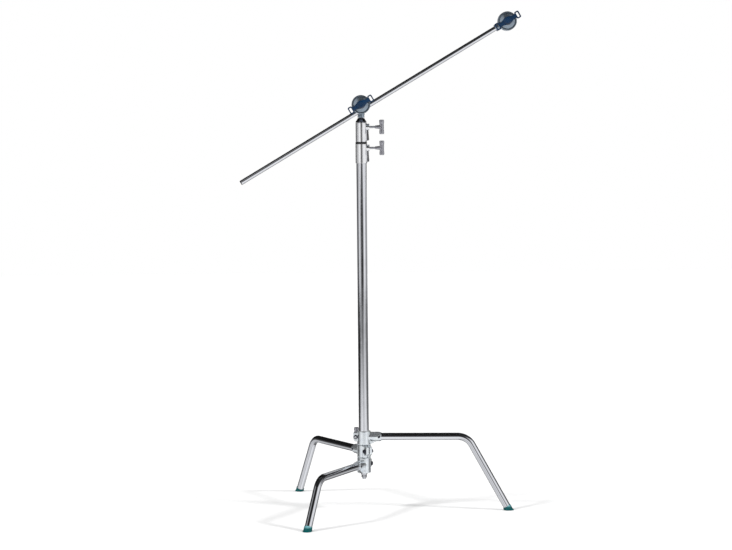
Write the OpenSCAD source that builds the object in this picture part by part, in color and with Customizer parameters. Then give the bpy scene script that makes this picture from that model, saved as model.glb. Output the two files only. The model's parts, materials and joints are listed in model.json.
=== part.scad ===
// Sliding-leg lighting stand with a stand grip head and an arm that carries a second grip head.
// Millimetres. Origin on the column axis at the floor, +Z up, arm rising towards +X.

/* [Column and risers] */
// Outside diameter of the fixed column
column_od = 35; // [34:0.5:36]
// Outside diameter of the lower riser
riser_1_od = 30; // [29.5:0.5:30]
// Outside diameter of the upper riser
riser_2_od = 25; // [24.5:0.5:25]
// Height of the top of the column collar
column_top_z = 1259; // [1200:1:1300]

/* [Legs] */
// Outside diameter of the leg tubes
leg_od = 25; // [24:0.5:26]
// Slope of the lower half of each leg
leg_slope = 61; // [58:0.5:64]
// Corner radius of the middle leg, measured from the column axis
leg_reach = 343; // [320:1:360]
// How much further out each leg's corner lies than that of the leg below it
leg_reach_step = 12; // [10:1:16]
// Height of the lowest leg
lower_leg_z = 160; // [156:1:164]
// Direction of the sliding leg seen from above
sliding_leg_az = -2.5; // [-10:0.5:10]
// Direction of the middle leg
middle_leg_az = 121; // [110:0.5:130]
// Direction of the lower leg
lower_leg_az = 243.5; // [230:0.5:250]

/* [Grip heads and arm] */
// Diameter of the grip head discs
disc_od = 63.5; // [60:0.5:66]
// Height of the stand head's clamp screw
head_z = 1392; // [1390:0.5:1400]
// Slope of the arm
arm_angle = 30.7; // [20:0.1:40]
// Length of the arm's rod
arm_length = 1041; // [900:1:1060]
// Distance from the stand head to the lower end of the rod
arm_tail = 483; // [400:1:500]
// Diameter of the arm's rod
arm_od = 16; // [15.5:0.5:16]

/* [Hidden] */
$fn = 64;

run_gap = 0.06;
seat_gap = 0.02;
big = 2000;

column_r = column_od / 2;
column_bore_r = column_r - 1.5;
riser_1_r = riser_1_od / 2;
riser_1_bore_r = riser_1_r - 1.25;
riser_2_r = riser_2_od / 2;
riser_2_bore_r = riser_2_r - 1.25;

// heights of the base castings, measured from the lowest leg's axis
base_z = lower_leg_z - 29;
lower_hub_top = lower_leg_z + 24;
middle_leg_z = lower_leg_z + 47.75;
middle_hub_z = lower_hub_top + 0.5;
middle_hub_top = middle_hub_z + 43;
sliding_leg_z = lower_leg_z + 95.5;
sliding_hub_z = middle_hub_top + 0.5;
sliding_hub_top = sliding_hub_z + 48;
hub_r = 23.5;
bush_wall = 1;
sleeve_r = 16.5;
sleeve_reach = 60;
socket_depth = 33;
clamp_reach = 36;
clamp_half_width = 12;
slide_screw_x = -28;
rivet_reach = 52;
rivet_seat = 15.6;
rivet_head_r = 4;
leg_r = leg_od / 2;
leg_bend_r = 55;
leg_wall = 1.5;
// the bend is drawn a hair thinner than the straight lengths that it joins
bend_step = 0.02;

collar_r = 20;
upper_collar_r = 19;
collar_h = 66;
rib_reach = 26;
ring_h = 6;
riser_collar_z = column_top_z + ring_h;
riser_collar_top = riser_collar_z + collar_h;
column_lock_z = column_top_z - 14;
riser_lock_z = riser_collar_top - 15;
screw_r = 4;
handle_reach = 70;

spigot_z = riser_collar_top + 0.5;
stud_z = spigot_z + 15;
stud_top = stud_z + 37.5;
stud_r = 8;

disc_r = disc_od / 2;
clamp_plane = 36.5;
jaw_gap = 3;
body_front = 20;
inner_jaw_back = 22.3;
outer_jaw_front = 50;
main_screw_r = 5;
main_bore_r = main_screw_r + run_gap;
groove_offset = 16;
loop_reach = 38.5;
barrel_r = 12;
barrel_low = -44;
rod_seat_top = -6;
arm_r = arm_od / 2;
arm_x = groove_offset * sin(arm_angle);
arm_z = head_z - groove_offset * cos(arm_angle);
arm_head_reach = arm_length - arm_tail - rod_seat_top;

// ---------- shared shapes ----------

module tube(r, bore_r, z0, z1) {
    translate([0, 0, z0]) difference() {
        cylinder(r = r, h = z1 - z0);
        translate([0, 0, -1]) cylinder(r = bore_r, h = z1 - z0 + 2);
    }
}

// a turned disc or ring with chamfered rims, along +Z from z = 0
module turned(r, h, edge) {
    rotate_extrude() polygon([[0, 0], [r - edge, 0], [r, edge], [r, h - edge], [r - edge, h], [0, h]]);
}

// moves a shape drawn in the leg's own plane (+X outward) to its direction
module leg_place(az) {
    rotate([0, 0, az]) children();
}

// hollow straight length along +X
module leg_straight(length) {
    rotate([0, 90, 0]) tube(leg_r, leg_r - leg_wall, 0, length);
}

// quarter-ring bend in the leg's own plane, turning from +X down to the leg's slope
module leg_bend() {
    intersection() {
        rotate([90, 0, 0]) rotate_extrude() translate([leg_bend_r, 0]) difference() {
            circle(r = leg_r - bend_step);
            circle(r = leg_r - leg_wall + bend_step);
        }
        translate([0, -100, 0]) cube([200, 200, 200]);
        rotate([0, leg_slope, 0]) translate([-200, -100, 0]) cube([200, 200, 200]);
    }
}

module above(z) {
    intersection() {
        children();
        translate([0, -200, z]) cube([big, 400, big]);
    }
}

module leg_tube(az, z, corner) {
    tangent = leg_bend_r * tan(leg_slope / 2);
    tube_start = sleeve_reach - socket_depth;
    color("gainsboro") leg_place(az) above(3) difference() {
        union() {
            translate([tube_start, 0, z]) leg_straight(corner - tangent - tube_start);
            translate([corner - tangent, 0, z - leg_bend_r]) {
                leg_bend();
                rotate([0, leg_slope, 0]) translate([0, 0, leg_bend_r])
                    leg_straight(z / sin(leg_slope) - tangent + 30);
            }
        }
        rivet_hole(z);
    }
}

module rivet_hole(z) {
    translate([rivet_reach, -20, z]) rotate([-90, 0, 0]) cylinder(r = 2.5 + seat_gap, h = 40);
}

// flat recesses under both heads of a rivet
module rivet_seats(z) {
    for (side = [0, 180])
        translate([rivet_reach, 0, z]) rotate([side - 90, 0, 0]) translate([0, 0, rivet_seat - seat_gap])
            cylinder(r = rivet_head_r + 0.3, h = 6);
}

module leg_rivet(az, z) {
    color("dimgray") leg_place(az) translate([rivet_reach, 0, z]) rotate([90, 0, 0]) {
        translate([0, 0, -rivet_seat - 1]) cylinder(r = 2.5, h = 2 * rivet_seat + 2);
        translate([0, 0, rivet_seat]) cylinder(r1 = rivet_head_r, r2 = rivet_head_r - 0.8, h = 1.6);
        translate([0, 0, -rivet_seat - 1.6])
            cylinder(r1 = rivet_head_r - 0.8, r2 = rivet_head_r, h = 1.6);
    }
}

// rubber cap pushed over the end of a leg, cut flat where it stands on the floor
module leg_foot(az, z, corner) {
    foot_x = corner + z / tan(leg_slope);
    color("teal") leg_place(az) above(0) translate([foot_x, 0, 0]) difference() {
        union() {
            rotate([0, leg_slope - 90, 0]) translate([0, 0, -30]) cylinder(r = 14, h = 46);
            intersection() {
                rotate([0, leg_slope - 90, 0]) translate([0, 0, -30]) cylinder(r = 15.2, h = 50);
                translate([-40, -40, 0]) cube([80, 80, 4]);
            }
        }
        intersection() {
            rotate([0, leg_slope - 90, 0]) translate([0, 0, -30])
                cylinder(r = leg_r + seat_gap, h = 80);
            translate([-60, -40, 2.98]) cube([120, 80, 80]);
        }
    }
}

// hub, leg socket and clamp ears of one base casting, drawn for a leg along +X
module leg_casting(z0, z1, z, bore_r, screw_x, slit) {
    difference() {
        union() {
            translate([0, 0, z0]) turned(hub_r, z1 - z0, 1.5);
            translate([10, 0, z]) rotate([0, 90, 0]) cylinder(r = sleeve_r, h = sleeve_reach - 18);
            translate([sleeve_reach - 8, 0, z]) rotate([0, 90, 0])
                cylinder(r1 = sleeve_r, r2 = sleeve_r - 1.5, h = 8);
            translate([0, 6, 0]) rotate([90, 0, 0]) linear_extrude(12)
                polygon([[15, z0 + 1.5], [hub_r, z0 + 1.5], [46, z - 14], [46, z], [15, z]]);
            clamp_block(z);
        }
        translate([0, 0, z0 - 1]) cylinder(r = bore_r, h = z1 - z0 + 2);
        translate([sleeve_reach - socket_depth, 0, z]) rotate([0, 90, 0])
            cylinder(r = leg_r + seat_gap, h = socket_depth + 1);
        rivet_hole(z);
        rivet_seats(z);
        translate([screw_x, -30, z]) rotate([-90, 0, 0]) cylinder(r = screw_r + run_gap, h = 60);
        if (slit)
            translate([-clamp_reach - 1, -1.5, z0 - 1]) cube([clamp_reach, 3, z1 - z0 + 2]);
    }
}

// ears opposite the leg, with their outer lower corner rounded
module clamp_block(z) {
    translate([0, clamp_half_width, 0]) rotate([90, 0, 0]) linear_extrude(2 * clamp_half_width) {
        difference() {
            translate([-clamp_reach, z - 15]) square([clamp_reach - 18, 31]);
            translate([-clamp_reach, z - 15]) square([9, 9]);
            translate([-clamp_reach, z + 12]) square([4, 4]);
        }
        translate([-clamp_reach + 9, z - 6]) circle(r = 9);
        translate([-clamp_reach + 4, z + 12]) circle(r = 4);
    }
}

// socket-head clamp screw across the ears, with its nut on the far side
module pinch_screw(az, z) {
    color("dimgray") leg_place(az) translate([-27, 0, z]) rotate([90, 0, 0]) {
        translate([0, 0, -clamp_half_width - 5]) cylinder(r = screw_r, h = 2 * clamp_half_width + 6);
        difference() {
            translate([0, 0, clamp_half_width + seat_gap]) turned(6, 6, 0.8);
            translate([0, 0, clamp_half_width + 3]) cylinder(r = 3.4, h = 8, $fn = 6);
        }
        translate([0, 0, -clamp_half_width - 6 - seat_gap]) rotate([0, 0, 30])
            cylinder(r = 7.2, h = 6, $fn = 6);
    }
}

// T-handle: grip across +Z, neck along -X, drawn with its grip centred at the origin
module t_handle(half_height, neck) {
    difference() {
        union() {
            rotate_extrude() {
                polygon([[0, -half_height], [5.2, -half_height], [8.2, 3 - half_height],
                    [8.2, 9 - half_height], [7.4, 14 - half_height], [7.4, half_height - 14],
                    [8.2, half_height - 9], [8.2, half_height - 3], [5.2, half_height],
                    [0, half_height]]);
                for (side = [-1, 1])
                    translate([5.2, side * (half_height - 3)]) circle(r = 3);
            }
            translate([-neck, 0, 0]) rotate([0, 90, 0]) cylinder(r1 = 5, r2 = 7.3, h = neck);
        }
        translate([-neck - 1, 0, 0]) rotate([0, 90, 0])
            cylinder(r = screw_r + seat_gap, h = neck + 1);
    }
}

module lock_screw(x0, x1) {
    color("silver") translate([x0, 0, 0]) rotate([0, 90, 0]) cylinder(r = screw_r, h = x1 - x0);
}

// brass pad whose inner end is hollowed to the tube that it presses on
module lock_pad(tube_r, z) {
    color("goldenrod") difference() {
        translate([tube_r - 2, 0, z]) rotate([0, 90, 0]) cylinder(r = screw_r, h = 5);
        translate([0, 0, z - 10]) cylinder(r = tube_r + run_gap, h = 20);
    }
}

// upright cast collar with a rib and a screw boss on its +X side
module collar(z0, z1, r, low_r, low_h, high_r, lock_z) {
    difference() {
        union() {
            translate([0, 0, z0]) turned(r, z1 - z0, 1.2);
            translate([0, 5, 0]) rotate([90, 0, 0]) linear_extrude(10) {
                polygon([[15, z0 + 5], [rib_reach - 1, z0 + 5], [rib_reach + 1, z0 + 8],
                    [rib_reach - 2, lock_z], [15, lock_z]]);
            }
            translate([0, 0, lock_z]) rotate([0, 90, 0]) cylinder(r = 11, h = rib_reach + 2);
        }
        translate([0, 0, z0 - 1]) cylinder(r = low_r, h = low_h + 1);
        translate([0, 0, z0 - 1]) cylinder(r = high_r, h = z1 - z0 + 2);
        translate([0, 0, lock_z]) rotate([0, 90, 0]) cylinder(r = screw_r + run_gap, h = big);
    }
}

// ---------- base ----------

module column_tube() {
    color("gainsboro") tube(column_r, column_bore_r, base_z + 6, column_top_z - 34);
}

module column_collar() {
    color("whitesmoke") collar(column_top_z - collar_h, column_top_z, collar_r,
        column_r + seat_gap, collar_h - 34, riser_1_r + run_gap, column_lock_z);
}

module lower_leg_casting() {
    color("lightsteelblue") difference() {
        union() {
            leg_place(lower_leg_az)
                leg_casting(base_z, lower_hub_top, lower_leg_z, column_r + seat_gap, -27, false);
            translate([0, 0, base_z]) cylinder(r = column_r + 1, h = 6 - seat_gap);
        }
        translate([0, 0, base_z - 1]) cylinder(r = main_screw_r + seat_gap, h = 20);
    }
}

module base_plug() {
    color("silver") tube(column_bore_r - seat_gap, main_screw_r + seat_gap, base_z + 6, base_z + 36);
}

module base_washer() {
    color("silver") tube(11, main_screw_r + seat_gap, base_z - 6, base_z);
}

module base_bolt() {
    color("darkgray") {
        translate([0, 0, base_z - 7]) cylinder(r = main_screw_r, h = 40);
        translate([0, 0, base_z - 16]) cylinder(r = 9.2, h = 10, $fn = 6);
        translate([0, 0, base_z - 22]) cylinder(r1 = 5.5, r2 = 8, h = 6);
    }
}

// ---------- legs ----------

module middle_leg_casting() {
    color("lightsteelblue") leg_place(middle_leg_az)
        leg_casting(middle_hub_z, middle_hub_top, middle_leg_z, column_r + run_gap, -27, true);
}

module sliding_leg_bush() {
    color("ivory") tube(column_r + bush_wall, column_r + run_gap, sliding_hub_z, sliding_hub_top);
}

module sliding_leg_bracket() {
    color("lightsteelblue") leg_place(sliding_leg_az)
        leg_casting(sliding_hub_z, sliding_hub_top, sliding_leg_z,
            column_r + bush_wall + run_gap, slide_screw_x, true);
}

module sliding_leg_nut() {
    color("dimgray") leg_place(sliding_leg_az)
        translate([slide_screw_x, -clamp_half_width, sliding_leg_z]) rotate([90, 0, 0]) difference() {
            rotate([0, 0, 30]) cylinder(r = 7.2, h = 6.5, $fn = 6);
            translate([0, 0, -1]) cylinder(r = screw_r + run_gap, h = 9);
        }
}

// moves a lock drawn along +X to the rear of the sliding bracket
module leg_lock_place() {
    leg_place(sliding_leg_az) translate([slide_screw_x, 0, sliding_leg_z]) rotate([0, 0, 90])
        children();
}

module leg_lock_washer() {
    color("silver") leg_lock_place() translate([clamp_half_width + 0.1, 0, 0]) rotate([0, 90, 0])
        tube(7.6, screw_r + run_gap, 0, 2);
}

module leg_lock_screw() {
    leg_lock_place() lock_screw(-clamp_half_width - 8, 48);
}

module leg_lock_handle() {
    color("gray") leg_lock_place() translate([54, 0, 0]) t_handle(24.5, 54 - clamp_half_width - 2.2);
}

// ---------- column and riser locks ----------

module column_lock_pad() {
    lock_pad(riser_1_r, column_lock_z);
}

module column_lock_screw() {
    translate([0, 0, column_lock_z]) lock_screw(riser_1_r + 3.1, handle_reach - 4);
}

module column_lock_handle() {
    color("gray") translate([handle_reach, 0, column_lock_z]) t_handle(24.5, 23);
}

module riser_lock_pad() {
    lock_pad(riser_2_r, riser_lock_z);
}

module riser_lock_screw() {
    translate([0, 0, riser_lock_z]) lock_screw(riser_2_r + 3.1, handle_reach - 4);
}

module riser_lock_handle() {
    color("gray") translate([handle_reach, 0, riser_lock_z]) t_handle(24.5, 23);
}

// ---------- risers ----------

// nylon cup that guides the foot of a riser inside the tube around it
module guide_bush(outer_r, inner_r, z) {
    color("ivory") difference() {
        translate([0, 0, z]) cylinder(r = outer_r - run_gap, h = 48);
        translate([0, 0, z + 4]) cylinder(r = inner_r + run_gap, h = 60);
        translate([0, 0, z - 1]) cylinder(r = inner_r - 5, h = 10);
    }
}

module riser_1_bush() {
    guide_bush(column_bore_r, riser_1_r, base_z + 48);
}

module riser_1_tube() {
    color("gainsboro") tube(riser_1_r, riser_1_bore_r, base_z + 52.3, riser_collar_top - 34);
}

module riser_1_collar() {
    color("whitesmoke") collar(riser_collar_z, riser_collar_top, upper_collar_r,
        riser_1_r + seat_gap, collar_h - 34, riser_2_r + run_gap, riser_lock_z);
}

module bumper_ring() {
    color("black") difference() {
        translate([0, 0, column_top_z + 0.2]) turned(19.8, ring_h - 0.4, 1);
        translate([0, 0, column_top_z - 1]) cylinder(r = riser_1_r + seat_gap, h = 10);
    }
}

module riser_2_bush() {
    guide_bush(riser_1_bore_r, riser_2_r, base_z + 60);
}

module riser_2_tube() {
    color("gainsboro") difference() {
        tube(riser_2_r, riser_2_bore_r, base_z + 64.3, spigot_z);
        spigot_pin_hole();
    }
}

module spigot_pin_hole() {
    translate([0, 30, spigot_z - 20]) rotate([90, 0, 0]) cylinder(r = 2 + seat_gap, h = 60);
}

module top_spigot() {
    color("dimgray") difference() {
        union() {
            translate([0, 0, spigot_z - 34]) cylinder(r = riser_2_bore_r - seat_gap, h = 35);
            translate([0, 0, spigot_z]) cylinder(r = 18.8, h = 2);
            translate([0, 0, spigot_z + 2]) cylinder(r1 = 18.8, r2 = 11, h = 13);
            translate([0, 0, stud_z]) cylinder(r = stud_r, h = stud_top - stud_z - 1);
            translate([0, 0, stud_top - 1]) cylinder(r1 = stud_r, r2 = stud_r - 1, h = 1);
        }
        spigot_pin_hole();
    }
}

module spigot_pin() {
    color("silver") translate([0, riser_2_r - 0.1, spigot_z - 20]) rotate([90, 0, 0])
        cylinder(r = 2, h = 2 * riser_2_r - 0.2);
}

// ---------- grip head shapes, screw along -Y, barrel along Z ----------

// cylinder along -Y between two distances in front of the barrel's axis
module forward(s0, s1, r, edge) {
    translate([0, -s0, 0]) rotate([90, 0, 0]) turned(r, s1 - s0, edge);
}

module main_bore() {
    translate([0, 4 - big / 2, 0]) rotate([-90, 0, 0]) cylinder(r = main_bore_r, h = big / 2 - 8);
}

module head_casting(bore_r) {
    difference() {
        union() {
            translate([0, 0, barrel_low]) turned(barrel_r, 52, 1);
            forward(10.5, body_front, disc_r, 1.2);
            forward(0, 12, 15, 1);
            translate([-8, -14, -24]) cube([16, 8, 48]);
        }
        translate([0, 0, barrel_low - 1]) cylinder(r = bore_r, h = rod_seat_top - barrel_low + 1);
        tube(barrel_r + 2, barrel_r - 1.2, barrel_low + 4.5, barrel_low + 7.7);
        main_bore();
    }
}

// rod groove between the jaws, seen along the screw: turned by angle, beside the screw by offset
module groove(r, angle, offset) {
    rotate([0, angle, 0]) translate([-disc_od, -clamp_plane, -offset]) rotate([0, 90, 0])
        cylinder(r = r, h = 2 * disc_od);
}

module jaw_grooves() {
    groove(8.05, 0, groove_offset);
    groove(6.4, 180, groove_offset);
    groove(4.8, 90, groove_offset);
    groove(3.2, 270, groove_offset);
}

module inner_jaw() {
    color("slategray") difference() {
        forward(inner_jaw_back, clamp_plane - jaw_gap / 2, disc_r, 1.2);
        jaw_grooves();
        main_bore();
    }
}

module outer_jaw() {
    back = clamp_plane + jaw_gap / 2;
    rim = outer_jaw_front - back;
    color("slategray") difference() {
        translate([0, -back, 0]) rotate([90, 0, 0]) rotate_extrude()
            polygon([[0, 0], [disc_r - 1.2, 0], [disc_r, 1.2], [disc_r, rim - 1.6], [disc_r - 1.6, rim],
                [26.8, rim], [25.6, rim - 1.8], [15, rim + 2], [0, rim + 2]]);
        jaw_grooves();
        main_bore();
    }
}

module friction_washer() {
    color("saddlebrown") difference() {
        forward(body_front + 0.1, inner_jaw_back - 0.1, 27, 0.3);
        main_bore();
    }
}

module thrust_washer() {
    color("silver") difference() {
        forward(outer_jaw_front + 2.1, outer_jaw_front + 4.1, 14, 0.4);
        main_bore();
    }
}

module main_screw() {
    color("silver") translate([0, -5, 0]) rotate([90, 0, 0]) cylinder(r = main_screw_r, h = 63);
}

// winged knob: waisted grip with a finger loop across each end
module winged_knob() {
    color("midnightblue") translate([0, -outer_jaw_front - 4.3, 0]) rotate([90, 0, 0]) difference() {
        union() {
            turned(13, 6, 0.8);
            translate([0, 0, 4]) linear_extrude(11) {
                circle(r = 13.3);
                polygon([[-33, -8.5], [-26, -6], [-20, -7], [-9, -11.5], [9, -11.5], [20, -7], [26, -6],
                    [33, -8.5], [33, 8.5], [26, 6], [20, 7], [9, 11.5], [-9, 11.5], [-20, 7], [-26, 6],
                    [-33, 8.5]]);
                for (side = [-1, 1])
                    translate([loop_reach * side, 0]) loop_outline(7.8, 12.6, 4.5);
            }
            translate([0, 0, 14]) cylinder(r1 = 12, r2 = 9.5, h = 4);
        }
        for (side = [-1, 1])
            translate([loop_reach * side, 0, -1]) linear_extrude(30) loop_outline(3.8, 8.4, 2.2);
        translate([0, 0, -1]) cylinder(r = main_screw_r + seat_gap, h = 15);
    }
}

module loop_outline(half_x, half_y, corner) {
    square([2 * (half_x - corner), 2 * half_y], center = true);
    square([2 * half_x, 2 * (half_y - corner)], center = true);
    for (sx = [-1, 1], sy = [-1, 1])
        translate([sx * (half_x - corner), sy * (half_y - corner)]) circle(r = corner);
}

// ---------- stand head ----------

module head_place() {
    translate([0, 0, head_z]) children();
}

module head_tilt() {
    head_place() rotate([0, -arm_angle, 0]) children();
}

module head_body() {
    color("slategray") head_place() difference() {
        union() {
            head_casting(stud_r + run_gap);
            translate([0, 0, -26]) rotate([-90, 0, 0]) cylinder(r = 8.5, h = 20);
        }
        translate([0, 0, barrel_low - 1]) cylinder(r = stud_r + run_gap, h = rod_seat_top - barrel_low + 1);
        translate([0, 0, -26]) rotate([-90, 0, 0]) cylinder(r = screw_r + run_gap, h = 30);
    }
}

// moves a lock drawn along +X to the rear of the stand head's barrel
module head_lock_place() {
    translate([0, 0, head_z - 26]) rotate([0, 0, 90]) children();
}

module head_lock_pad() {
    head_lock_place() lock_pad(stud_r, 0);
}

module head_lock_screw() {
    head_lock_place() lock_screw(stud_r + 3.1, 46);
}

module head_lock_handle() {
    color("gray") head_lock_place() translate([50, 0, 0]) t_handle(20, 14);
}

module head_inner_jaw() {
    head_tilt() inner_jaw();
}

module head_friction_washer() {
    head_tilt() friction_washer();
}

module head_outer_jaw() {
    head_tilt() outer_jaw();
}

module head_thrust_washer() {
    head_tilt() thrust_washer();
}

module head_screw() {
    head_tilt() main_screw();
}

module head_knob() {
    head_tilt() winged_knob();
}

// ---------- arm ----------

// moves a shape drawn with the rod along +X, its lower end at x = 0
module rod_place() {
    translate([arm_x, -clamp_plane, arm_z]) rotate([0, -arm_angle, 0]) translate([-arm_tail, 0, 0])
        children();
}

// moves a grip head drawn with its barrel along -Z onto the far end of the rod
module arm_head_place() {
    rod_place() translate([arm_tail + arm_head_reach, 0, 0]) rotate([0, 90, 0]) children();
}

// the same, with the jaws' largest groove parallel to the rod
module arm_jaw_place() {
    rod_place() translate([arm_tail + arm_head_reach, 0, 0]) children();
}

module arm_pin_hole() {
    rod_place() translate([arm_length - 20, -20, 0]) rotate([-90, 0, 0])
        cylinder(r = 2 + seat_gap, h = 40);
}

module arm_rod() {
    color("silver") difference() {
        rod_place() rotate([0, 90, 0]) difference() {
            cylinder(r = arm_r, h = arm_length);
            translate([0, 0, -1]) cylinder(r = arm_r - 2, h = arm_length + 2);
        }
        arm_pin_hole();
    }
}

module arm_tail_plug() {
    color("black") rod_place() rotate([0, 90, 0]) {
        translate([0, 0, -3]) turned(arm_r - 0.3, 2.9, 0.8);
        translate([0, 0, -0.2]) cylinder(r = arm_r - 2 - run_gap, h = 16);
    }
}

module arm_head_body() {
    color("slategray") difference() {
        arm_head_place() head_casting(arm_r + seat_gap);
        arm_pin_hole();
    }
}

module arm_head_pin() {
    color("silver") rod_place() translate([arm_length - 20, -11.5, 0]) rotate([-90, 0, 0])
        cylinder(r = 2, h = 23);
}

module arm_inner_jaw() {
    arm_jaw_place() inner_jaw();
}

module arm_friction_washer() {
    arm_jaw_place() friction_washer();
}

module arm_outer_jaw() {
    arm_jaw_place() outer_jaw();
}

module arm_thrust_washer() {
    arm_jaw_place() thrust_washer();
}

module arm_screw() {
    arm_jaw_place() main_screw();
}

module arm_knob() {
    arm_jaw_place() winged_knob();
}

column_tube();
column_collar();
lower_leg_casting();
pinch_screw(lower_leg_az, lower_leg_z);  // lower_leg_screw
leg_tube(lower_leg_az, lower_leg_z, leg_reach - leg_reach_step);  // lower_leg_tube
leg_rivet(lower_leg_az, lower_leg_z);  // lower_leg_rivet
leg_foot(lower_leg_az, lower_leg_z, leg_reach - leg_reach_step);  // lower_leg_foot
base_plug();
base_washer();
base_bolt();
middle_leg_casting();
pinch_screw(middle_leg_az, middle_leg_z);  // middle_leg_screw
leg_tube(middle_leg_az, middle_leg_z, leg_reach);  // middle_leg_tube
leg_rivet(middle_leg_az, middle_leg_z);  // middle_leg_rivet
leg_foot(middle_leg_az, middle_leg_z, leg_reach);  // middle_leg_foot
sliding_leg_bush();
sliding_leg_bracket();
sliding_leg_nut();
leg_tube(sliding_leg_az, sliding_leg_z, leg_reach + leg_reach_step);  // sliding_leg_tube
leg_rivet(sliding_leg_az, sliding_leg_z);  // sliding_leg_rivet
leg_foot(sliding_leg_az, sliding_leg_z, leg_reach + leg_reach_step);  // sliding_leg_foot
leg_lock_washer();
leg_lock_screw();
leg_lock_handle();
column_lock_pad();
column_lock_screw();
column_lock_handle();
riser_1_bush();
riser_1_tube();
riser_1_collar();
bumper_ring();
riser_lock_pad();
riser_lock_screw();
riser_lock_handle();
riser_2_bush();
riser_2_tube();
top_spigot();
spigot_pin();
head_body();
head_lock_pad();
head_lock_screw();
head_lock_handle();
head_inner_jaw();
head_friction_washer();
head_outer_jaw();
head_thrust_washer();
head_screw();
head_knob();
arm_tail_plug();
arm_rod();
arm_head_body();
arm_head_pin();
arm_inner_jaw();
arm_friction_washer();
arm_outer_jaw();
arm_thrust_washer();
arm_screw();
arm_knob();
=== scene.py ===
"""Looks of a sliding-leg lighting stand with two grip heads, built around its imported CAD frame.

Everything is in metres in the frame's own axes: +Z up along the column, the arm rising towards +X,
the grip heads facing -Y, the floor at z = 0.
"""

import json
import math

import bmesh
import bpy
from mathutils import Matrix, Vector


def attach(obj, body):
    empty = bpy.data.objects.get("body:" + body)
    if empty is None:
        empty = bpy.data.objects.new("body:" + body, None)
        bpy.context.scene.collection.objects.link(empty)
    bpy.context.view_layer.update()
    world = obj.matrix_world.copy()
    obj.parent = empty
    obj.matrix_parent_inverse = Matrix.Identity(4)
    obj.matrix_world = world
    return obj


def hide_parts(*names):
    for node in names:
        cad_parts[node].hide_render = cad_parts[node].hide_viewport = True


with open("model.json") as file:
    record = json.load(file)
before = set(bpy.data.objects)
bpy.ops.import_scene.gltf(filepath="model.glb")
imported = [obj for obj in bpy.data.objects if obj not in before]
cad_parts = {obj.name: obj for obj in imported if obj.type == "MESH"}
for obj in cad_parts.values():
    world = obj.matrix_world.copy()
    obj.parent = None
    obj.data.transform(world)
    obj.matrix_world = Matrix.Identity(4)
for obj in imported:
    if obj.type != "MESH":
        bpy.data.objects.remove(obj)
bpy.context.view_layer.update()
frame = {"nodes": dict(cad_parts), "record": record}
NODES = frame["nodes"]
MM = 0.001
UP = Vector((0, 0, 1))

# ---------------------------------------------------------------- camera

CAMERA_DISTANCE = 7.0
CAMERA_HEIGHT = 1.293
CAMERA_YAW = math.radians(0.100)
CAMERA_PITCH = math.radians(3.934)
CAMERA_ROLL = math.radians(-0.507)
CAMERA_LENS_MM = 100.97
SENSOR_MM = 36.0


def make_camera():
    """Camera in front of the stand, looking slightly down along +Y."""
    forward = Vector((
        math.cos(CAMERA_PITCH) * math.sin(CAMERA_YAW),
        math.cos(CAMERA_PITCH) * math.cos(CAMERA_YAW),
        -math.sin(CAMERA_PITCH),
    ))
    right = Vector((math.cos(CAMERA_YAW), -math.sin(CAMERA_YAW), 0))
    up = right.cross(forward)
    x_axis = math.cos(CAMERA_ROLL) * right + math.sin(CAMERA_ROLL) * up
    y_axis = math.cos(CAMERA_ROLL) * up - math.sin(CAMERA_ROLL) * right
    data = bpy.data.cameras.new("camera")
    data.sensor_width = SENSOR_MM
    data.lens = CAMERA_LENS_MM
    data.clip_end = 100
    camera = bpy.data.objects.new("camera", data)
    bpy.context.collection.objects.link(camera)
    rotation = Matrix((x_axis, y_axis, -forward)).transposed().to_4x4()
    camera.matrix_world = Matrix.Translation((0, -CAMERA_DISTANCE, CAMERA_HEIGHT)) @ rotation
    bpy.context.scene.camera = camera


make_camera()

# ---------------------------------------------------------------- node helpers


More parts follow.
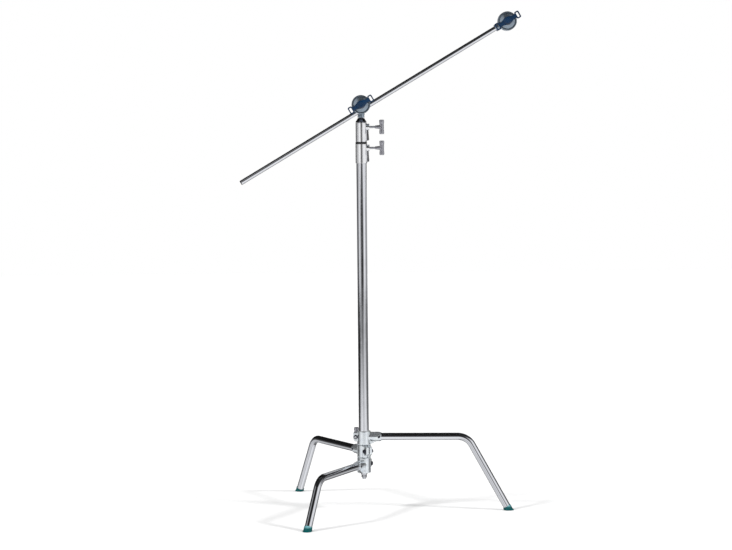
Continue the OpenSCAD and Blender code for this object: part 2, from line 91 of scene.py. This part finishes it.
class Nodes:
    """Short calls for building one node tree."""

    def __init__(self, tree):
        self.tree = tree

    def add(self, kind, inputs=(), **settings):
        node = self.tree.nodes.new(kind)
        for key, value in settings.items():
            setattr(node, key, value)
        for key, value in dict(inputs).items():
            if isinstance(value, bpy.types.NodeSocket):
                self.tree.links.new(value, node.inputs[key])
            else:
                node.inputs[key].default_value = value
        return node

    def coordinates(self):
        return self.add("ShaderNodeTexCoord").outputs["Object"]

    def stretched(self, scale):
        """Object coordinates scaled differently along each axis."""
        mapping = self.add("ShaderNodeMapping", {"Vector": self.coordinates()})
        mapping.inputs["Scale"].default_value = scale
        return mapping.outputs["Vector"]

    def noise(self, scale, detail=4.0, roughness=0.55, vector=None):
        node = self.add("ShaderNodeTexNoise", {
            "Vector": vector or self.coordinates(),
            "Scale": scale, "Detail": detail, "Roughness": roughness,
        })
        return node.outputs["Fac"]

    def between(self, value, low, high, start=0.3, end=0.7):
        """Maps start..end of a value to low..high."""
        node = self.add("ShaderNodeMapRange", {
            "Value": value, "From Min": start, "From Max": end, "To Min": low, "To Max": high,
        })
        return node.outputs["Result"]

    def ramp(self, value, stops):
        """Colour ramp with (position, colour) stops."""
        node = self.add("ShaderNodeValToRGB", {"Fac": value})
        elements = node.color_ramp.elements
        while len(elements) < len(stops):
            elements.new(0.5)
        for element, (position, colour) in zip(elements, stops):
            element.position = position
            element.color = (*colour, 1)
        return node.outputs["Color"]

    def mix(self, factor, a, b, blend="MIX"):
        node = self.add("ShaderNodeMix", data_type="RGBA", blend_type=blend)
        for index, value in ((0, factor), (6, a), (7, b)):
            if isinstance(value, bpy.types.NodeSocket):
                self.tree.links.new(value, node.inputs[index])
            elif index == 0:
                node.inputs[index].default_value = value
            else:
                node.inputs[index].default_value = (*value, 1)
        return node.outputs[2]

    def times(self, a, b):
        return self.add("ShaderNodeMath", {0: a, 1: b}, operation="MULTIPLY").outputs[0]

    def edges(self, start=0.52, end=0.62):
        """1 on sharp outer edges, 0 on flats."""
        point = self.add("ShaderNodeNewGeometry").outputs["Pointiness"]
        return self.between(point, 0.0, 1.0, start, end)

    def bump(self, height, strength, distance, normal=None):
        inputs = {"Height": height, "Strength": strength, "Distance": distance}
        if normal is not None:
            inputs["Normal"] = normal
        return self.add("ShaderNodeBump", inputs).outputs["Normal"]


def new_material(name):
    """An empty node material with its Principled shader."""
    material = bpy.data.materials.new(name)
    material.use_nodes = True
    nodes = Nodes(material.node_tree)
    shader = material.node_tree.nodes["Principled BSDF"]
    return material, nodes, shader


def wire(nodes, shader, **links):
    """Links sockets into the Principled shader by input name, with _ for a space."""
    for key, socket in links.items():
        nodes.tree.links.new(socket, shader.inputs[key.replace("_", " ")])


def shade(colour, factor):
    return tuple(min(1.0, channel * factor) for channel in colour)


# ---------------------------------------------------------------- materials


def chrome(name, colour, rough_low, rough_high, grain_axis=(1, 1, 0.04)):
    """Polished plate: clouded roughness, faint draw lines along the tube, tiny pits."""
    material, n, shader = new_material(name)
    shader.inputs["Metallic"].default_value = 1.0
    cloud = n.noise(9.0, 3.0)
    lines = n.noise(900.0, 2.0, vector=n.stretched(grain_axis))
    handling = n.noise(42.0, 5.0, 0.65)
    base = n.ramp(cloud, [(0.3, shade(colour, 0.94)), (0.7, shade(colour, 1.04))])
    base = n.mix(n.between(handling, 0.0, 0.25, 0.55, 0.75), base, shade(colour, 0.8))
    rough = n.between(cloud, rough_low, rough_high)
    prints = n.between(handling, 0.0, 0.06, 0.5, 0.8)
    smudge = n.add("ShaderNodeMath", {0: rough, 1: prints}, operation="ADD")
    pits = n.bump(n.noise(2600.0, 2.0), 0.05, 0.0002)
    normal = n.bump(lines, 0.06, 0.0002, pits)
    wire(n, shader, Base_Color=base, Roughness=smudge.outputs[0], Normal=normal)
    return material


def casting(name, colour, rough_low, rough_high, grain=0.35, wear=1.25, metallic=1.0):
    """Tumbled casting: mottled satin skin, fine sand grain, bright rubbed edges."""
    material, n, shader = new_material(name)
    shader.inputs["Metallic"].default_value = metallic
    blotch = n.noise(60.0, 5.0, 0.6)
    base = n.ramp(blotch, [(0.3, shade(colour, 0.86)), (0.7, shade(colour, 1.08))])
    wear_and_painted_highlight = n.edges()
    base = n.mix(wear_and_painted_highlight, base, shade(colour, wear))
    rough = n.between(blotch, rough_low, rough_high)
    polished = n.add("ShaderNodeMix", {"Factor": wear_and_painted_highlight, "A": rough, "B": rough_low * 0.7})
    coarse = n.bump(n.noise(220.0, 3.0), grain, 0.0004)
    normal = n.bump(n.noise(1500.0, 3.0, 0.7), grain, 0.00025, coarse)
    wire(n, shader, Base_Color=base, Roughness=polished.outputs[0], Normal=normal)
    return material


def enamel(name, colour, dark_edge_colour):
    """Thick gloss enamel over a casting: depth variation, orange peel, near-black patches on sharp edges
    and thin parts.
    """
    material, n, shader = new_material(name)
    shader.inputs["Coat Weight"].default_value = 0.25
    shader.inputs["Coat Roughness"].default_value = 0.15
    shader.inputs["Specular IOR Level"].default_value = 0.4
    depth = n.noise(38.0, 4.0)
    base = n.ramp(depth, [(0.3, shade(colour, 0.7)), (0.7, shade(colour, 1.3))])
    patches = n.between(n.noise(300.0, 4.0), 0.6, 1.0, 0.35, 0.6)
    # Darkens sharp edges and thin parts, such as the knob's loops, to near black in patches.
    dark_edges = n.times(n.edges(0.505, 0.56), patches)
    base = n.mix(dark_edges, base, dark_edge_colour)
    rough = n.between(n.noise(120.0, 4.0), 0.24, 0.42)
    normal = n.bump(n.noise(700.0, 2.0), 0.06, 0.0003)
    wire(n, shader, Base_Color=base, Roughness=rough, Normal=normal)
    return material


def polymer(name, colour, rough_low, rough_high, peel=0.2, scuff=1.6):
    """Moulded rubber, nylon or plastic: cloudy colour, scuffed edges, fine texture."""
    material, n, shader = new_material(name)
    cloud = n.noise(75.0, 4.0)
    base = n.ramp(cloud, [(0.3, shade(colour, 0.8)), (0.7, shade(colour, 1.2))])
    base = n.mix(n.edges(0.53, 0.68), base, shade(colour, scuff))
    rough = n.between(n.noise(210.0, 4.0), rough_low, rough_high)
    normal = n.bump(n.noise(1900.0, 3.0), peel, 0.0002)
    wire(n, shader, Base_Color=base, Roughness=rough, Normal=normal)
    return material


def foot_rubber(name, colour, wear_and_painted_highlight):
    """Glossy moulded rubber with a painted highlight: pale round the top rim, most on the side facing
    -Y.
    """
    material, n, shader = new_material(name)
    shader.inputs["Specular IOR Level"].default_value = 0.35
    cloud = n.noise(75.0, 4.0)
    base = n.ramp(cloud, [(0.3, shade(colour, 0.7)), (0.7, shade(colour, 1.2))])
    height = n.add("ShaderNodeSeparateXYZ", {"Vector": n.coordinates()}).outputs["Z"]
    # Painted highlight: a pale band round the top rim, strongest where the surface faces -Y towards the
    # camera.
    highlight_rim = n.between(height, 0.0, 0.8, 0.011, 0.016)
    normals = n.add("ShaderNodeTexCoord").outputs["Normal"]
    facing_camera = n.add("ShaderNodeSeparateXYZ", {"Vector": normals}).outputs["Y"]
    highlight_mask = n.times(highlight_rim, n.between(facing_camera, 1.0, 0.15, -0.9, -0.3))
    base = n.mix(highlight_mask, base, wear_and_painted_highlight)
    rough = n.between(n.noise(210.0, 4.0), 0.16, 0.34)
    normal = n.bump(n.noise(1900.0, 3.0), 0.12, 0.0002)
    wire(n, shader, Base_Color=base, Roughness=rough, Normal=normal)
    return material


def machined(name, colour, rough_low, rough_high):
    """Turned metal: fine grain all round, small stains."""
    material, n, shader = new_material(name)
    shader.inputs["Metallic"].default_value = 1.0
    stain = n.noise(130.0, 5.0, 0.6)
    base = n.ramp(stain, [(0.35, shade(colour, 0.82)), (0.7, shade(colour, 1.1))])
    base = n.mix(n.edges(), base, shade(colour, 1.3))
    rough = n.between(stain, rough_low, rough_high)
    normal = n.bump(n.noise(2400.0, 3.0), 0.16, 0.0002)
    wire(n, shader, Base_Color=base, Roughness=rough, Normal=normal)
    return material


def make_materials():
    """One material for each of the record's material slots."""
    return {
        "tube_chrome": chrome("tube_chrome", (0.84, 0.85, 0.88), 0.04, 0.10),
        "arm_chrome": chrome("arm_chrome", (0.82, 0.83, 0.86), 0.05, 0.11, (1, 1, 1)),
        "collar_bright": casting("collar_bright", (0.94, 0.95, 0.99), 0.06, 0.12, 0.008, metallic=0.92),
        "casting_bright": casting("casting_bright", (0.88, 0.93, 0.99), 0.08, 0.16, 0.02, metallic=0.86),
        "casting_head": casting("casting_head", (0.30, 0.36, 0.42), 0.12, 0.24, 0.03, 1.5, 0.84),
        "handle_grey": casting("handle_grey", (0.46, 0.46, 0.50), 0.22, 0.36, 0.08, 1.4, 0.85),
        "knob_blue": enamel("knob_blue", (0.003, 0.025, 0.07), (0.0, 0.002, 0.006)),
        "spigot_dark": chrome("spigot_dark", (0.16, 0.16, 0.18), 0.10, 0.2, (1, 1, 1)),
        "fastener_dark": machined("fastener_dark", (0.05, 0.05, 0.07), 0.3, 0.5),
        "fastener_plated": machined("fastener_plated", (0.66, 0.67, 0.70), 0.16, 0.3),
        "pad_brass": machined("pad_brass", (0.72, 0.53, 0.24), 0.22, 0.4),
        "bush_nylon": polymer("bush_nylon", (0.75, 0.73, 0.66), 0.45, 0.65),
        "ring_black": polymer("ring_black", (0.006, 0.006, 0.007), 0.4, 0.6, 0.1, 2.5),
        "friction_disc": polymer("friction_disc", (0.22, 0.13, 0.07), 0.6, 0.85, 0.5),
        # The foot's third colour is its painted highlight round the top rim.
        "foot_teal": foot_rubber("foot_teal", (0.0, 0.085, 0.088), (0.24, 0.54, 0.60)),
    }


MATERIALS = make_materials()
NODE_SLOT = {part["node"]: part["material_slot"] for part in frame["record"]["subparts"]}

# ---------------------------------------------------------------- mesh helpers


def body_of_node(name):
    for body, names in frame["record"]["behaviour"]["bodies"].items():
        if name in names:
            return body
    raise KeyError(name)


def set_material(obj, slot_name):
    obj.data.materials.clear()
    obj.data.materials.append(MATERIALS[slot_name])


def object_from_bmesh(name, mesh_builder):
    data = bpy.data.meshes.new(name)
    mesh_builder.normal_update()
    mesh_builder.to_mesh(data)
    mesh_builder.free()
    obj = bpy.data.objects.new(name, data)
    bpy.context.collection.objects.link(obj)
    for polygon in data.polygons:
        polygon.use_smooth = True
    return obj


def bake_modifiers(obj):
    """Applies an object's modifiers to its own mesh."""
    graph = bpy.context.evaluated_depsgraph_get()
    data = bpy.data.meshes.new_from_object(obj.evaluated_get(graph))
    obj.modifiers.clear()
    obj.data = data
    for polygon in data.polygons:
        polygon.use_smooth = True


def install(obj, *replaced, ride_on=None):
    """Puts a finished piece in place of CAD nodes: its body, slot and material come from the first."""
    slot_name = NODE_SLOT[replaced[0]]
    set_material(obj, slot_name)
    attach(obj, ride_on or body_of_node(replaced[0]))
    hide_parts(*replaced)


EDGE_BEVEL = 0.35 * MM
EDGE_ANGLE = math.radians(50)


def finish_cad_nodes():
    """Material and small edge bevels for every CAD node."""
    for name, obj in NODES.items():
        set_material(obj, NODE_SLOT[name])
        bevel = obj.modifiers.new("edge", "BEVEL")
        bevel.width = EDGE_BEVEL
        bevel.segments = 2
        bevel.limit_method = "ANGLE"
        bevel.angle_limit = EDGE_ANGLE
        bevel.harden_normals = True


def cast_copy(node, voxel_mm, passes):
    """A copy of a CAD casting with the soft inner and outer corners that a mould leaves."""
    source = NODES[node]
    obj = bpy.data.objects.new(node + "_cast", source.data.copy())
    bpy.context.collection.objects.link(obj)
    remesh = obj.modifiers.new("remesh", "REMESH")
    remesh.mode = "VOXEL"
    remesh.voxel_size = voxel_mm * MM
    smooth = obj.modifiers.new("smooth", "SMOOTH")
    smooth.factor = 0.5
    smooth.iterations = passes
    bake_modifiers(obj)
    return obj


# ---------------------------------------------------------------- pieces

CASTINGS = {
    # node: voxel size in mm, smoothing passes
    "lower_leg_casting": (0.8, 12),
    "middle_leg_casting": (0.8, 12),
    "sliding_leg_bracket": (0.8, 12),
    "head_knob": (0.5, 8),
    "arm_knob": (0.5, 8),
    "column_lock_handle": (0.45, 8),
    "riser_lock_handle": (0.45, 8),
    "leg_lock_handle": (0.45, 8),
    "head_lock_handle": (0.45, 8),
}


def make_castings():
    for node, (voxel_mm, passes) in CASTINGS.items():
        install(cast_copy(node, voxel_mm, passes), node)


def node_axis(node):
    """Middle, unit axis and half length of a CAD rod, from its own mesh."""
    points = [NODES[node].matrix_world @ vertex.co for vertex in NODES[node].data.vertices]
    middle = sum(points, Vector()) / len(points)
    far = max(points, key=lambda point: (point - middle).length)
    ends = [point for point in points if (point - far).length < (point + far - 2 * middle).length]
    end = sum(ends, Vector()) / len(ends)
    axis = (end - middle).normalized()
    return middle, axis, max((point - middle).dot(axis) for point in points)


# The thread's depth is in pitches; a steeper slope or a wider crest makes the groove's flanks shorter.
THREAD_DEPTH = 0.6
THREAD_FLANK_SLOPE = 2.6
THREAD_CREST = 0.15
THREAD_COLUMNS = 36
THREAD_RINGS_PER_PITCH = 6


def threaded_rod(node, radius_mm, pitch_mm):
    """The CAD screw with its helical thread and chamfered ends."""
    middle, axis, half = node_axis(node)
    side = axis.orthogonal().normalized()
    across = axis.cross(side)
    depth = THREAD_DEPTH * pitch_mm
    columns = THREAD_COLUMNS
    step = pitch_mm / THREAD_RINGS_PER_PITCH * MM
    rows = int(2 * half / step)
    builder = bmesh.new()
    rings = []
    for row in range(rows + 1):
        along = -half + 2 * half * row / rows
        chamfer = max(0.0, depth - (half - abs(along)) / MM)
        ring = []
        for column in range(columns):
            phase = (along / MM / pitch_mm - column / columns) % 1.0
            cut = depth * min(1.0, max(0.0, THREAD_FLANK_SLOPE * abs(phase - 0.5) - THREAD_CREST))
            radius = (radius_mm - max(cut, chamfer)) * MM
            turn = 2 * math.pi * column / columns
            offset = radius * (math.cos(turn) * side + math.sin(turn) * across)
            ring.append(builder.verts.new(middle + along * axis + offset))
        rings.append(ring)
    for lower, upper in zip(rings, rings[1:]):
        for column in range(columns):
            after = (column + 1) % columns
            builder.faces.new((lower[column], lower[after], upper[after], upper[column]))
    builder.faces.new(list(reversed(rings[0])))
    builder.faces.new(rings[-1])
    install(object_from_bmesh(node + "_thread", builder), node)


THREADS = {
    # node: thread radius and pitch in mm
    "column_lock_screw": (4.0, 1.25),
    "riser_lock_screw": (4.0, 1.25),
    "head_lock_screw": (4.0, 1.25),
    "head_screw": (5.0, 1.5875),
    "arm_screw": (5.0, 1.5875),
}


def make_threads():
    for node, (radius_mm, pitch_mm) in THREADS.items():
        threaded_rod(node, radius_mm, pitch_mm)


LEG_SLOPE = math.radians(61)
FOOT_SKIN_RADIUS = 13.4 * MM
FOOT_SOLE_HEIGHT = 5 * MM
RIB_PITCH = 3.6 * MM
RIB_DEPTH = 0.55 * MM


def ribbed_foot(node, azimuth, corner_mm, leg_height_mm):
    """The rubber foot with the mould's grip ribs round it and a rounded top rim."""
    obj = cast_copy(node, 0.45, 2)
    turn = math.radians(azimuth)
    outward = Vector((math.cos(turn), math.sin(turn), 0))
    base = outward * (corner_mm + leg_height_mm / math.tan(LEG_SLOPE)) * MM
    axis = math.sin(LEG_SLOPE) * UP - math.cos(LEG_SLOPE) * outward
    for vertex in obj.data.vertices:
        offset = vertex.co - base
        along = offset.dot(axis)
        radial = offset - along * axis
        if radial.length < FOOT_SKIN_RADIUS or vertex.co.z < FOOT_SOLE_HEIGHT:
            continue
        wave = math.cos(2 * math.pi * along / RIB_PITCH)
        inset = RIB_DEPTH * min(1.0, max(0.0, 0.5 - wave))
        vertex.co -= radial.normalized() * inset
    install(obj, node)


FEET = {
    # node: leg's direction in degrees, its corner's reach and its level run's height in mm
    "lower_leg_foot": (243.5, 331, 160),
    "middle_leg_foot": (121, 343, 207.75),
    "sliding_leg_foot": (-2.5, 355, 255.5),
}


def make_feet():
    for node, (azimuth, corner_mm, leg_height_mm) in FEET.items():
        ribbed_foot(node, azimuth, corner_mm, leg_height_mm)


finish_cad_nodes()
make_castings()
make_threads()
make_feet()

# ---------------------------------------------------------------- studio

FLOOR_FRONT = -7.0
FLOOR_BACK = 12.0
FLOOR_HALF_WIDTH = 12.0


def make_floor():
    builder = bmesh.new()
    corners = (
        (-FLOOR_HALF_WIDTH, FLOOR_FRONT), (FLOOR_HALF_WIDTH, FLOOR_FRONT),
        (FLOOR_HALF_WIDTH, FLOOR_BACK), (-FLOOR_HALF_WIDTH, FLOOR_BACK),
    )
    builder.faces.new([builder.verts.new((x, y, 0)) for x, y in corners])
    floor = object_from_bmesh("floor", builder)
    material, n, shader = new_material("floor_paper")
    paper = n.noise(3.0, 5.0)
    wire(n, shader, Base_Color=n.ramp(paper, [(0.3, (0.93, 0.93, 0.93)), (0.7, (0.96, 0.96, 0.96))]))
    shader.inputs["Roughness"].default_value = 0.9
    shader.inputs["Specular IOR Level"].default_value = 0.0
    floor.data.materials.append(material)
    floor.visible_glossy = False


# What polished metal sees: soft light and dark flats all round the stand, in bands of height, set so
# that the front view's reflections agree with the reference. Directions are in degrees round from the
# front, towards +X.
ROOM_BANDS = (
    # the blend from the band below, in degrees above the horizon; then (direction, brightness) stops
    (None, (
        (-180, 0.60), (-174, 0.12), (-156, 0.06), (-140, 0.50), (-120, 0.55), (-60, 0.72),
        (-40, 0.78), (-29, 0.30), (-18, 0.84), (0, 0.90), (60, 0.90), (76, 0.80),
        (90, 0.32), (106, 0.66), (120, 0.62), (140, 0.50), (152, 0.05), (170, 0.12),
        (180, 0.60),
    )),
    ((-15, -10), (
        (-180, 0.55), (-140, 0.30), (-118, 0.02), (-92, 0.05), (-66, 0.75), (-40, 1.00),
        (-16, 0.85), (8, 0.72), (30, 0.78), (54, 1.00), (80, 0.60), (100, 0.06),
        (125, 0.06), (145, 0.40), (180, 0.55),
    )),
    ((-7.9, -7.3), (
        (-180, 0.50), (-146, 0.30), (-128, 0.01), (-76, 0.01), (-56, 0.42), (-30, 0.72),
        (-5, 0.34), (20, 0.62), (42, 0.88), (68, 0.32), (95, 0.10), (125, 0.12),
        (145, 0.40), (180, 0.50),
    )),
    ((-6.5, -5.9), (
        (-180, 0.50), (-146, 0.36), (-128, 0.01), (-74, 0.01), (-56, 0.15), (-29, 0.24),
        (-5, 0.10), (20, 0.36), (44, 0.64), (70, 0.20), (100, 0.13), (125, 0.16),
        (145, 0.40), (180, 0.50),
    )),
    ((-4.8, -4.4), (
        (-180, 0.60), (-148, 0.50), (-128, 0.06), (-92, 0.12), (-76, 0.55), (-60, 0.86),
        (-46, 0.70), (-34, 0.36), (-13, 0.03), (8, 0.01), (20, 0.14), (32, 0.45),
        (46, 0.95), (62, 1.00), (82, 0.46), (110, 0.30), (128, 0.30), (145, 0.50),
        (180, 0.60),
    )),
    ((-1.6, -1.1), (
        (-180, 0.50), (-148, 0.30), (-128, 0.04), (-108, 0.12), (-94, 0.32), (-69, 0.42),
        (-46, 0.80), (-24, 1.00), (-12, 0.42), (-3, 0.06), (12, 0.04), (22, 0.42),
        (34, 0.78), (55, 0.88), (79, 0.80), (104, 0.88), (118, 0.10), (128, 0.02),
        (150, 0.02), (165, 0.25),
    )),
    ((3, 8), (
        (-180, 0.01), (-98, 0.01), (-80, 0.60), (-60, 0.90), (-34, 0.75), (-18, 0.03),
        (18, 0.03), (34, 0.80), (70, 0.95), (90, 0.25), (112, 0.02), (142, 0.02),
        (152, 0.45), (170, 0.55), (180, 0.08),
    )),
    ((30, 44), (
        (-180, 0.00), (-60, 0.02), (0, 0.01), (60, 0.03), (180, 0.00),
    )),
)
ROOM_TINT = (0.975, 0.98, 1.0)
DOME_BRIGHTNESS = 0.62


def make_world():
    """An even white dome; polished metal sees soft boxes, a white floor and a dark ceiling instead."""
    world = bpy.data.worlds.new("studio")
    bpy.context.scene.world = world
    world.use_nodes = True
    tree = world.node_tree
    tree.nodes.clear()
    n = Nodes(tree)
    split = n.add("ShaderNodeSeparateXYZ", {"Vector": n.add("ShaderNodeTexCoord").outputs["Generated"]})
    front = n.add("ShaderNodeMath", {0: split.outputs["Y"], 1: -1.0}, operation="MULTIPLY").outputs[0]
    angle = n.add("ShaderNodeMath", {0: split.outputs["X"], 1: front}, operation="ARCTAN2").outputs[0]
    turn = n.between(angle, 0.0, 1.0, -math.pi, math.pi)
    room = None
    for blend, stops in ROOM_BANDS:
        band = n.ramp(turn, [(0.5 + degrees / 360, shade(ROOM_TINT, value)) for degrees, value in stops])
        if blend is None:
            room = band
            continue
        start, end = (math.sin(math.radians(degrees)) for degrees in blend)
        room = n.mix(n.between(split.outputs["Z"], 0.0, 1.0, start, end), room, band)
    reflected = n.add("ShaderNodeBackground", {"Color": room, "Strength": 1.0})
    dome = n.add("ShaderNodeBackground", {"Color": (1, 1, 1, 1), "Strength": DOME_BRIGHTNESS})
    seen = n.add("ShaderNodeBackground", {"Color": (1, 1, 1, 1), "Strength": 1.0})
    ray = n.add("ShaderNodeLightPath").outputs
    lit = n.add("ShaderNodeMixShader", {
        0: ray["Is Glossy Ray"], 1: dome.outputs[0], 2: reflected.outputs[0],
    })
    both = n.add("ShaderNodeMixShader", {
        0: ray["Is Camera Ray"], 1: lit.outputs[0], 2: seen.outputs[0],
    })
    n.add("ShaderNodeOutputWorld", {"Surface": both.outputs[0]})


SUN_ANGLE = math.radians(9)
SUN_STRENGTH = 1.45


def make_sun(name, azimuth, elevation):
    """A soft light far off to one side of the camera."""
    data = bpy.data.lights.new(name, "SUN")
    data.angle = SUN_ANGLE
    data.energy = SUN_STRENGTH
    light = bpy.data.objects.new(name, data)
    bpy.context.collection.objects.link(light)
    flat = math.cos(elevation)
    towards = Vector((math.sin(azimuth) * flat, -math.cos(azimuth) * flat, math.sin(elevation)))
    light.rotation_euler = (-towards).to_track_quat("-Z", "Y").to_euler()
    light.visible_glossy = False


def make_studio():
    make_floor()
    make_world()
    make_sun("light_left", math.radians(-62), math.radians(36))
    make_sun("light_right", math.radians(66), math.radians(36))
    scene = bpy.context.scene
    scene.view_settings.view_transform = "Standard"
    scene.view_settings.look = "None"


make_studio()
